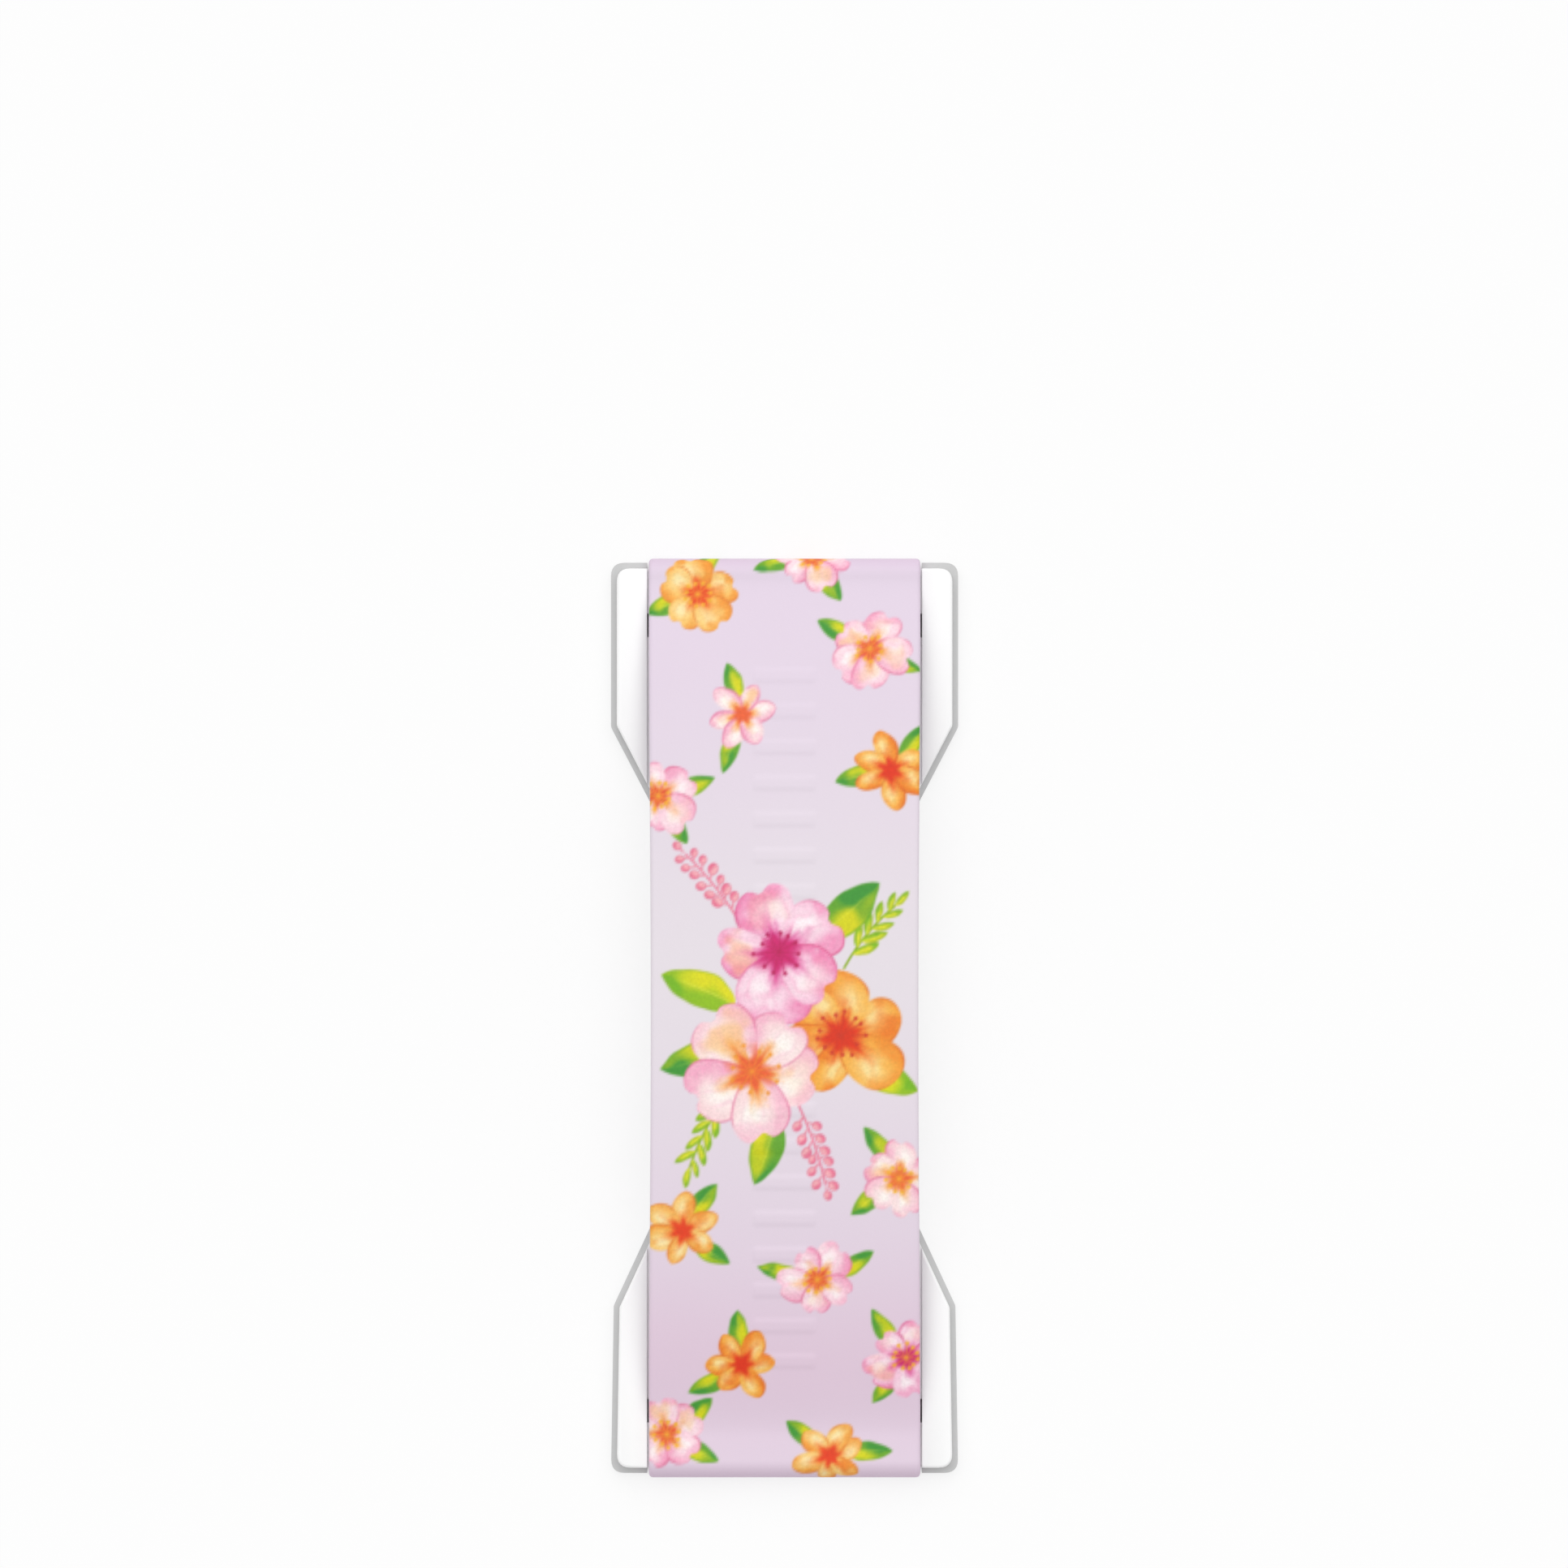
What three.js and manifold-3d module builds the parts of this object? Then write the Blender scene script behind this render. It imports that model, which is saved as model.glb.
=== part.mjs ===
// A finger strap: one silicone band, arched over a slim base plate, that wraps round a bar at each
// end of the plate and hooks up into the slot behind it. A foam tape under the plate sticks it to a
// flat surface. Millimetres, +Z up, +Y along the strap towards its top end.
// The origin is the middle of the tape's lower face, on the surface that it is stuck to.
import * as THREE from "three";
import { mergeVertices } from "three/addons/utils/BufferGeometryUtils.js";
import Module from "manifold-3d";

// Outline of the base, seen from the front: two wide ends joined by a waist under the strap.
const baseLength = 100.7;
const wingWidth = 4; // how far the base stands out on each side of the strap's channel
const bottomSlant = 0.3; // how far each side comes in from the bottom end to its shoulder
const waistWidth = 23;
const topShoulderFromEnd = 18.2;
const bottomShoulderFromEnd = 18.5;
const topTaperDegrees = 27.6;
const bottomTaperDegrees = 25;
const cornerRadius = 1.5;
const shoulderRadius = 0.9;
const waistRadius = 7;

// Base plate.
const plateInset = 0.65; // the tape shows this far round the plate
const webThickness = 1.4; // the plate's floor under the strap, and the bars that carry it
const wingRise = 0.5; // how far the ends stand up beside the strap
const plateEdgeRadius = 0.3;
const barWidth = 5;
const barRoot = 0.6; // how far a bar runs into the ends beside it

// Silicone strap.
const strapWidth = 30;
const strapThickness = 1;
const strapEdgeRadius = 0.3;
const archRise = 5;
const topFootFromEnd = 1.2; // where the arch leaves the bar, from the plate's end
const bottomFootFromEnd = 3.5;
const apexHandle = 36; // lengths of the arch's curve handles
const topFootHandle = 3;
const bottomFootHandle = 5;
const hookBead = 0.5; // how much thicker the hook is than the strap
const hookDrop = 0.25; // the hook ends this far below the plate's floor
const hookEndRadius = 0.45;

// Clearances.
const strapClearance = 0.1; // strap to bar, and strap to the surface under the tape
const channelClearance = 0.2; // strap to the ends beside it, each side
const hookClearance = 1; // hook to the far side of its slot

// Levels and places that follow from the sizes above.
const tapeThickness = strapThickness + 2 * strapClearance;
const webTop = tapeThickness + webThickness;
const plateTop = webTop + wingRise;
const plateEnd = baseLength / 2 - plateInset;
const barInner = plateEnd - barWidth;
const hookThickness = strapThickness + hookBead;
const hookNear = barInner - strapClearance;
const hookFar = hookNear - hookThickness;
const slotInner = hookFar - hookClearance;
const channelWidth = strapWidth + 2 * channelClearance;
const baseWidth = channelWidth + 2 * wingWidth;
const noseRadius = webThickness / 2;
const wrapRadius = noseRadius + strapClearance;
const noseCentre = new THREE.Vector2(plateEnd - noseRadius, tapeThickness + noseRadius);

const CURVE_STEPS = 6;
const ARCH_STEPS = 22;
const WRAP_STEPS = 10;
const EDGE_STEPS = 3;

const wasm = await Module();
wasm.setup();

function toSolid(geometry) {
  const bare = geometry.clone();
  bare.deleteAttribute("normal");
  bare.deleteAttribute("uv");
  const merged = mergeVertices(bare, 1e-4);
  const vertProperties = merged.attributes.position.array;
  const triVerts = new Uint32Array(merged.index.array);
  return new wasm.Manifold(new wasm.Mesh({ numProp: 3, vertProperties, triVerts }));
}

function toGeometry(solid) {
  const cut = solid.getMesh();
  const geometry = new THREE.BufferGeometry();
  geometry.setAttribute("position", new THREE.BufferAttribute(cut.vertProperties, 3));
  geometry.setIndex(new THREE.BufferAttribute(cut.triVerts, 1));
  geometry.computeVertexNormals();
  return geometry;
}

// A box from its lowest and highest corners.
function block(low, high) {
  const size = high.map((value, axis) => value - low[axis]);
  const geometry = new THREE.BoxGeometry(...size);
  geometry.translate(...low.map((value, axis) => value + size[axis] / 2));
  return toSolid(geometry);
}

// A profile drawn in the YZ plane, carried along X and centred on it.
function acrossStrap(shape, width, edgeRadius) {
  const geometry = new THREE.ExtrudeGeometry(shape, {
    depth: width - 2 * edgeRadius,
    curveSegments: CURVE_STEPS,
    bevelEnabled: edgeRadius > 0,
    bevelThickness: edgeRadius,
    bevelSize: edgeRadius,
    bevelOffset: -edgeRadius,
    bevelSegments: EDGE_STEPS,
  });
  geometry.translate(0, 0, edgeRadius - width / 2);
  const alongY = new THREE.Vector3(0, 1, 0);
  const alongZ = new THREE.Vector3(0, 0, 1);
  const alongX = new THREE.Vector3(1, 0, 0);
  return geometry.applyMatrix4(new THREE.Matrix4().makeBasis(alongY, alongZ, alongX));
}

// The base's outline as corners, clockwise from the top right, each with the radius it is rounded to.
function baseCorners() {
  const end = baseLength / 2;
  const wide = baseWidth / 2;
  const narrow = waistWidth / 2;
  const bottomWide = wide - bottomSlant;
  const topShoulder = end - topShoulderFromEnd;
  const bottomShoulder = bottomShoulderFromEnd - end;
  const topRun = (wide - narrow) / Math.tan(THREE.MathUtils.degToRad(topTaperDegrees));
  const bottomRun = (bottomWide - narrow) / Math.tan(THREE.MathUtils.degToRad(bottomTaperDegrees));
  const right = [
    [wide, end, cornerRadius],
    [wide, topShoulder, shoulderRadius],
    [narrow, topShoulder - topRun, waistRadius],
    [narrow, bottomShoulder + bottomRun, waistRadius],
    [bottomWide, bottomShoulder, shoulderRadius],
    [wide, -end, cornerRadius],
  ];
  const left = right.map(([x, y, radius]) => [-x, y, radius]).reverse();
  return [...right, ...left].map(([x, y, radius]) => ({ at: new THREE.Vector2(x, y), radius }));
}

// The corners of a clockwise outline with every side moved inwards by the same distance.
function movedIn(corners, distance) {
  const count = corners.length;
  return corners.map(({ at, radius }, i) => {
    const before = corners[(i + count - 1) % count].at;
    const after = corners[(i + 1) % count].at;
    const arriving = at.clone().sub(before).normalize();
    const leaving = after.clone().sub(at).normalize();
    const inFirst = new THREE.Vector2(arriving.y, -arriving.x);
    const inSecond = new THREE.Vector2(leaving.y, -leaving.x);
    const inwards = inFirst.clone().add(inSecond);
    const reach = distance / (1 + inFirst.dot(inSecond));
    return { at: at.clone().addScaledVector(inwards, reach), radius };
  });
}

// A closed shape through the corners, each rounded by a curve that starts and ends on its sides.
function roundedShape(corners) {
  const shape = new THREE.Shape();
  const count = corners.length;
  corners.forEach(({ at, radius }, i) => {
    const toBefore = corners[(i + count - 1) % count].at.clone().sub(at).normalize();
    const toAfter = corners[(i + 1) % count].at.clone().sub(at).normalize();
    const setback = radius / Math.tan(toBefore.angleTo(toAfter) / 2);
    const start = at.clone().addScaledVector(toBefore, setback);
    const stop = at.clone().addScaledVector(toAfter, setback);
    if (i === 0) shape.moveTo(start.x, start.y);
    else shape.lineTo(start.x, start.y);
    shape.quadraticCurveTo(at.x, at.y, stop.x, stop.y);
  });
  shape.closePath();
  return shape;
}

// The base's outline raised from the tape's top face to a level, with its top edge rounded.
function slab(top) {
  const shape = roundedShape(movedIn(baseCorners(), plateInset));
  const geometry = new THREE.ExtrudeGeometry(shape, {
    depth: top - tapeThickness,
    curveSegments: CURVE_STEPS,
    bevelThickness: plateEdgeRadius,
    bevelSize: plateEdgeRadius,
    bevelOffset: -plateEdgeRadius,
    bevelSegments: EDGE_STEPS,
  });
  geometry.translate(0, 0, tapeThickness - plateEdgeRadius);
  const roundedBelow = block([-baseLength, -baseLength, 0], [baseLength, baseLength, tapeThickness]);
  return toSolid(geometry).subtract(roundedBelow);
}

// A block through plate and tape at one end of the base, from the slot's inner side outwards.
function endWindow(side) {
  const [near, far] = [side * slotInner, side * baseLength].sort((a, b) => a - b);
  const half = channelWidth / 2;
  return block([-half, near, -tapeThickness], [half, far, 2 * plateTop]);
}

// The bar at one end of the plate that the strap wraps round: its outer edge is a full round nose.
function strapBar(side) {
  const shape = new THREE.Shape();
  shape.moveTo(barInner, tapeThickness);
  shape.lineTo(noseCentre.x, tapeThickness);
  shape.absarc(noseCentre.x, noseCentre.y, noseRadius, -Math.PI / 2, Math.PI / 2, false);
  shape.lineTo(barInner, webTop);
  shape.closePath();
  const geometry = acrossStrap(shape, channelWidth + 2 * barRoot, 0);
  return toSolid(side > 0 ? geometry : geometry.rotateZ(Math.PI));
}

// The plate: a thin floor all over, the ends standing up beside the strap's channel, and at each end
// a window that leaves only the bar, with the slot for the strap's hook behind it.
function basePlate() {
  const half = channelWidth / 2;
  const channel = block([-half, -baseLength, webTop], [half, baseLength, 2 * plateTop]);
  let plate = slab(webTop).add(slab(plateTop).subtract(channel));
  for (const side of [1, -1]) plate = plate.subtract(endWindow(side)).add(strapBar(side));
  return toGeometry(plate);
}

// The foam tape: the base's whole outline, open at each end where the strap passes under the bar.
function adhesiveTape() {
  const shape = roundedShape(baseCorners());
  const sheet = new THREE.ExtrudeGeometry(shape, {
    depth: tapeThickness,
    curveSegments: CURVE_STEPS,
    bevelEnabled: false,
  });
  return toGeometry(toSolid(sheet).subtract(endWindow(1)).subtract(endWindow(-1)));
}

function arcPoints(centre, radius, fromAngle, toAngle, steps) {
  return Array.from({ length: steps + 1 }, (_, i) => {
    const angle = fromAngle + ((toAngle - fromAngle) * i) / steps;
    return new THREE.Vector2(
      centre.x + radius * Math.cos(angle),
      centre.y + radius * Math.sin(angle),
    );
  });
}

// Half of the strap's side view, from the apex of the arch out to the end of the hook, as the points
// of the face towards the plate and those of the face away from it.
function halfStrap(footFromEnd, footHandle) {
  const rest = webTop + strapClearance;
  const foot = plateEnd - footFromEnd;
  const arch = new THREE.CubicBezierCurve(
    new THREE.Vector2(0, rest + archRise),
    new THREE.Vector2(apexHandle, rest + archRise),
    new THREE.Vector2(foot - footHandle, rest),
    new THREE.Vector2(foot, rest),
  );
  const archInner = arch.getPoints(ARCH_STEPS);
  const archOuter = archInner.map((point, i) => {
    const tangent = arch.getTangent(i / ARCH_STEPS);
    return new THREE.Vector2(
      point.x - tangent.y * strapThickness,
      point.y + tangent.x * strapThickness,
    );
  });
  const quarter = Math.PI / 2;
  const flap = new THREE.Vector2(hookNear, noseCentre.y - wrapRadius);
  const hookTop = webTop - hookDrop;
  const inner = [
    ...archInner,
    ...arcPoints(noseCentre, wrapRadius, quarter, -quarter, WRAP_STEPS),
    flap,
    ...arcPoints(
      new THREE.Vector2(flap.x - hookEndRadius, hookTop - hookEndRadius),
      hookEndRadius, 0, quarter, EDGE_STEPS,
    ),
  ];
  const outer = [
    ...archOuter,
    ...arcPoints(noseCentre, wrapRadius + strapThickness, quarter, -quarter, WRAP_STEPS),
    ...arcPoints(
      new THREE.Vector2(hookFar + strapThickness, flap.y),
      strapThickness, -quarter, -2 * quarter, CURVE_STEPS,
    ),
    ...arcPoints(
      new THREE.Vector2(hookFar + hookEndRadius, hookTop - hookEndRadius),
      hookEndRadius, 2 * quarter, quarter, EDGE_STEPS,
    ),
  ];
  return { inner, outer };
}

// The strap's whole side view, carried across its width with its long edges rounded.
function fingerStrap() {
  const top = halfStrap(topFootFromEnd, topFootHandle);
  const bottom = halfStrap(bottomFootFromEnd, bottomFootHandle);
  const mirrored = (points) => points.map(({ x, y }) => new THREE.Vector2(-x, y));
  const outline = [
    ...top.outer.slice(1),
    ...top.inner.slice(1).reverse(),
    top.inner[0],
    ...mirrored(bottom.inner.slice(1)),
    ...mirrored(bottom.outer.slice(1)).reverse(),
    top.outer[0],
  ];
  return acrossStrap(new THREE.Shape(outline), strapWidth, strapEdgeRadius);
}

function named(name, geometry, look) {
  const mesh = new THREE.Mesh(geometry, new THREE.MeshStandardMaterial(look));
  mesh.name = name;
  return mesh;
}

const fingerStrapAssembly = new THREE.Group();
fingerStrapAssembly.add(
  named("strap", fingerStrap(), { color: 0xe6d6e7, roughness: 0.55, metalness: 0 }),
  named("base_plate", basePlate(), { color: 0xfafafa, roughness: 0.45, metalness: 0 }),
  named("adhesive_tape", adhesiveTape(), { color: 0xc0c0c0, roughness: 0.9, metalness: 0 }),
);

export default fingerStrapAssembly;
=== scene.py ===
"""A printed silicone finger strap, arched over a white base plate on grey foam tape, from above."""
import math

import bmesh
import bpy
import numpy as np
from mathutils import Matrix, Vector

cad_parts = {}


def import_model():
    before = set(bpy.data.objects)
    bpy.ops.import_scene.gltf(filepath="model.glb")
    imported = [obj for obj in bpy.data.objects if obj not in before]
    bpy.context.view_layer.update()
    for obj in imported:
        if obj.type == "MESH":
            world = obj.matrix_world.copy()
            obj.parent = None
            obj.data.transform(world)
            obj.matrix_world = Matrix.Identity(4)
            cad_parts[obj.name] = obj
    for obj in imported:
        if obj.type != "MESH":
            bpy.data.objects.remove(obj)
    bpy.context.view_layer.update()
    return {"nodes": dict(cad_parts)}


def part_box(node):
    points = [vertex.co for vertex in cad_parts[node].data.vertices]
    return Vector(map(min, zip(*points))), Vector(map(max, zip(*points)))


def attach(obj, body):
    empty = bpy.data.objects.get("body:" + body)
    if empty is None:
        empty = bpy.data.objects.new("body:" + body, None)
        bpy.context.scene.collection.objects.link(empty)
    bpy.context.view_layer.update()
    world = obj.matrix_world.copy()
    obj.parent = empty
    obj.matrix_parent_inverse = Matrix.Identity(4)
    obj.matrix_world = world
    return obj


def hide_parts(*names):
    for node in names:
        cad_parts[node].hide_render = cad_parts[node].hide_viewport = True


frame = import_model()

MM = 0.001

# The photograph's frame and scale
PHOTO_SIDE = 1932
PIXELS_PER_MM = 11.15
ORIGIN_PIXEL = (966.7, 1254.5)
LENS = 300
SENSOR = 36
FOCUS_HEIGHT = 3.0

# Sizes of the strap and bars that their boxes don't give, in millimetres
THICKNESS = 1.0
BAR_THICKNESS = 1.4
BAR_WIDTH = 5.0
TOP_FOOT = 1.2
BOTTOM_FOOT = 3.5
APEX_HANDLE = 36.0
TOP_FOOT_HANDLE = 3.0
BOTTOM_FOOT_HANDLE = 5.0
HOOK_BEAD = 0.5
HOOK_DROP = 0.25
HOOK_ROUND = 0.45
INNER_CORNER = 0.2
EDGE_ROUND = 0.45
WAISTING = 0.018

# The grid of the strap's mesh
FACE_COLUMNS = 144
BACK_COLUMNS = 8
EDGE_STEPS = 4
ALONG_STEP = 0.215
WRAP_STEPS = 20
FLAP_STEPS = 12
CORNER_STEPS = 5
HOOK_STEPS = 3
TIP_STEPS = 5
CURVE_SAMPLES = 4001

# Shallow ribs along the middle of the strap's face, in two groups
RIB_FIRST = 10.0
RIB_PITCH = 4.0
RIB_COUNT = 8
RIB_HALF_WIDTH = 3.4
RIB_HALF_LENGTH = 0.7
RIB_HEIGHT = 0.1
RIB_SHOULDER = 0.35


def highest(node):
    """A node's highest corner in millimetres."""
    return np.array(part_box(node)[1]) / MM


strap_high = highest("strap")
plate_high = highest("base_plate")
tape_high = highest("adhesive_tape")

clearance = strap_high[1] - plate_high[1] - THICKNESS
half_width = strap_high[0]
rest_level = tape_high[2] + BAR_THICKNESS + clearance
arch_rise = strap_high[2] - THICKNESS - rest_level
plate_end = plate_high[1]
nose = np.array([plate_end - BAR_THICKNESS / 2, tape_high[2] + BAR_THICKNESS / 2])
wrap_radius = BAR_THICKNESS / 2 + clearance


def smooth(low, high, value):
    """0 below low, 1 above high and an S-curve between; high may be the smaller one."""
    t = np.clip((value - low) / (high - low), 0, 1)
    return t * t * (3 - 2 * t)


def bell(t):
    """1 at 0, falling off both ways: e to the power of minus t squared."""
    return np.exp(-(t ** 2))


# The print: blossoms and leaves painted on the strap's face laid out flat
LATTICE_SIDE = 61
LATTICE_SHIFT = (17.3, 31.7)


def blotches(x, y, size, seed):
    """Soft random patches from -1 to 1: a lattice of random values, blended by S-curves between them."""
    lattice = np.random.default_rng(seed).uniform(-1, 1, (LATTICE_SIDE, LATTICE_SIDE))
    u, v = x / size + LATTICE_SHIFT[0], y / size + LATTICE_SHIFT[1]
    column, row = np.floor(u), np.floor(v)
    across, up = smooth(0, 1, u - column), smooth(0, 1, v - row)
    c, r = column.astype(int) % LATTICE_SIDE, row.astype(int) % LATTICE_SIDE
    c1, r1 = (c + 1) % LATTICE_SIDE, (r + 1) % LATTICE_SIDE
    lower = lattice[r, c] * (1 - across) + lattice[r, c1] * across
    upper = lattice[r1, c] * (1 - across) + lattice[r1, c1] * across
    return lower * (1 - up) + upper * up


def rgb(text):
    """A colour from six hexadecimal digits, as three shares from 0 to 1."""
    return np.array([int(text[i:i + 2], 16) for i in (0, 2, 4)]) / 255


def linear(colour):
    """The light that a colour stands for: the inverse of the display's curve."""
    return np.where(colour <= 0.04045, colour / 12.92, ((colour + 0.055) / 1.055) ** 2.4)


GROUND_TOP = rgb("e2d2e3")
GROUND_BOTTOM = rgb("e3d2e2")
GROUND_MIDDLE = rgb("e6dee5")
# Painted shade: a pinker ground colour for the band above the bottom foot, where the arch is in shade
FOOT_PAINTED_SHADE = rgb("e3cbdd")
PALE_CENTRE = 5.0
PALE_REACH = 24.0
# Where the painted shade above the bottom foot is strongest, and how far it reaches
FOOT_SHADE_CENTRE = -38.0
FOOT_SHADE_REACH = 9.0
# Painted shade: the ground darkened and turned pinker where the band wraps round the bars
WRAP_PAINTED_SHADE = np.array([0.975, 0.95, 0.97])

PINK = {"pale": rgb("fff1f2"), "middle": rgb("fad2de"), "edge": rgb("f3a0c0"), "rim": rgb("dc6890"),
        "blush": rgb("f9cba6"), "streak": rgb("f0983a"), "heart": rgb("e4522c")}
ROSE = {"pale": rgb("fff0f4"), "middle": rgb("f9cbdf"), "edge": rgb("ee84b2"), "rim": rgb("d4477e"),
        "blush": rgb("f5ab84"), "streak": rgb("e0559a"), "heart": rgb("cc1f6c")}
PEACH = {"pale": rgb("fff8f2"), "middle": rgb("fbdcdd"), "edge": rgb("f4abc6"), "rim": rgb("de7098"),
         "blush": rgb("f9c58c"), "streak": rgb("f4982a"), "heart": rgb("ea6030")}
ORANGE = {"pale": rgb("fbe8ae"), "middle": rgb("f8c76e"), "edge": rgb("f09a36"), "rim": rgb("dc7424"),
          "blush": rgb("f08a2c"), "streak": rgb("ea6218"), "heart": rgb("e43c10")}
AMBER = {"pale": rgb("fbe29c"), "middle": rgb("f6b248"), "edge": rgb("ec7f1c"), "rim": rgb("d65c12"),
         "blush": rgb("ea6c18"), "streak": rgb("e64e0c"), "heart": rgb("de3006")}
GREEN = {"dark": rgb("3a9230"), "light": rgb("d6d408"), "rim": rgb("4c9a18"), "rib": rgb("e2e64c")}
LIME = {"dark": rgb("74b414"), "light": rgb("e0dc10"), "rim": rgb("7fa80c"), "rib": rgb("eeee6c")}
CORAL = {"dark": rgb("e8708f"), "light": rgb("f6b9bd"), "rim": rgb("dd5f80"), "rib": rgb("f9d8d8")}
GOLD_DOTS = rgb("f3b32c")
RED_DOTS = rgb("c8321a")
WINE_DOTS = rgb("b3124f")
HONEY_DOTS = rgb("f0962a")


def ground_colour(along):
    """The plain ground: it pales in the middle of the strap, with painted shade as a pinker band above its
    bottom foot and as a darker, pinker tint where the band wraps round the bars."""
    end = GROUND_BOTTOM + (GROUND_TOP - GROUND_BOTTOM) * smooth(-30, 30, along)[..., None]
    pale = bell((along - PALE_CENTRE) / PALE_REACH)[..., None]
    # painted shade: the pinker band above the bottom foot
    foot_shade = bell((along - FOOT_SHADE_CENTRE) / FOOT_SHADE_REACH)[..., None]
    # painted shade: darker and pinker where the band wraps round the bars
    wrap_shade = smooth(nose[0], plate_end + 2 * THICKNESS, np.abs(along))[..., None]
    colour = end + (GROUND_MIDDLE - end) * pale + (FOOT_PAINTED_SHADE - end) * foot_shade
    return colour * (1 - wrap_shade * (1 - WRAP_PAINTED_SHADE))


PRINT_PITCH = 0.1
PRINT_MARGIN = 1.0
PRINT_FULL_DEPTH = 0.15
PRINT_GONE_DEPTH = 0.55
FEATHER = 0.13


class Patch:
    """A window on the printed face round one motif: places in millimetres from the motif's middle."""

    def __init__(self, x, y, colour, ink):
        self.x, self.y = np.broadcast_arrays(x[None, :], y[:, None])
        self.colour = colour
        self.ink = ink

    def lay(self, colour, cover):
        """Lays a colour over the picture where cover is 1, and thinner where it's less."""
        self.colour += (colour - self.colour) * cover[..., None]
        self.ink += (1 - self.ink) * cover

    def local(self, at, turn, length, bend):
        """Places along a turned, bent axis from a point and across it, in lengths of the motif."""
        x, y = self.x - at[0], self.y - at[1]
        u = (x * math.cos(turn) + y * math.sin(turn)) / length
        v = (y * math.cos(turn) - x * math.sin(turn)) / length
        return u, v - bend * u * u


class Print:
    """The strap's face laid out flat: a grid of colours, and how much ink lies at each place."""

    def __init__(self, half_across, half_along):
        self.across = np.arange(-half_across, half_across, PRINT_PITCH)
        self.along = np.arange(-half_along, half_along, PRINT_PITCH)
        ground = ground_colour(self.along)[:, None, :]
        self.colour = np.repeat(ground, len(self.across), axis=1)
        self.ink = np.zeros(self.colour.shape[:2])

    def patch(self, x, y, reach):
        """The part of the face within reach of a point, both ways."""
        rows = slice(*np.searchsorted(self.along, (y - reach, y + reach)))
        columns = slice(*np.searchsorted(self.across, (x - reach, x + reach)))
        return Patch(self.across[columns] - x, self.along[rows] - y,
                     self.colour[rows, columns], self.ink[rows, columns])

    def dried(self):
        """Colour and ink as one array, each place averaged with its neighbours in shares of 1, 2 and 1."""
        wet = np.concatenate([self.colour, self.ink[..., None]], axis=2)
        wet[1:-1] = (wet[:-2] + 2 * wet[1:-1] + wet[2:]) / 4
        wet[:, 1:-1] = (wet[:, :-2] + 2 * wet[:, 1:-1] + wet[:, 2:]) / 4
        return wet

    def sampled(self, x, y):
        """Colour and ink at places on the face, blended between the four nearest points of the grid."""
        picture = self.dried()
        column = np.clip((x - self.across[0]) / PRINT_PITCH, 0, len(self.across) - 1.01)
        row = np.clip((y - self.along[0]) / PRINT_PITCH, 0, len(self.along) - 1.01)
        c, r = column.astype(int), row.astype(int)
        right, up = (column - c)[..., None], (row - r)[..., None]
        lower = picture[r, c] * (1 - right) + picture[r, c + 1] * right
        upper = picture[r + 1, c] * (1 - right) + picture[r + 1, c + 1] * right
        return lower * (1 - up) + upper * up


def outline(u, root, tip):
    """Half the width of a petal or leaf along its length: u^root (1-u)^tip, scaled so its widest is 1."""
    u = np.clip(u, 0, 1)
    widest = root / (root + tip)
    return (u ** root * (1 - u) ** tip) / (widest ** root * (1 - widest) ** tip)


def tinted(tone, colour, amount):
    """A tone drawn towards a colour, by an amount from 0 to 1 at each place."""
    return tone + (colour - tone) * np.clip(amount, 0, 1)[..., None]


def spot(u, v, centre, reach):
    """A soft oval spot: 1 in its centre, and a bell curve of the distance in shares of its reach."""
    return bell(np.hypot((u - centre[0]) / reach[0], (v - centre[1]) / reach[1]))


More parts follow.
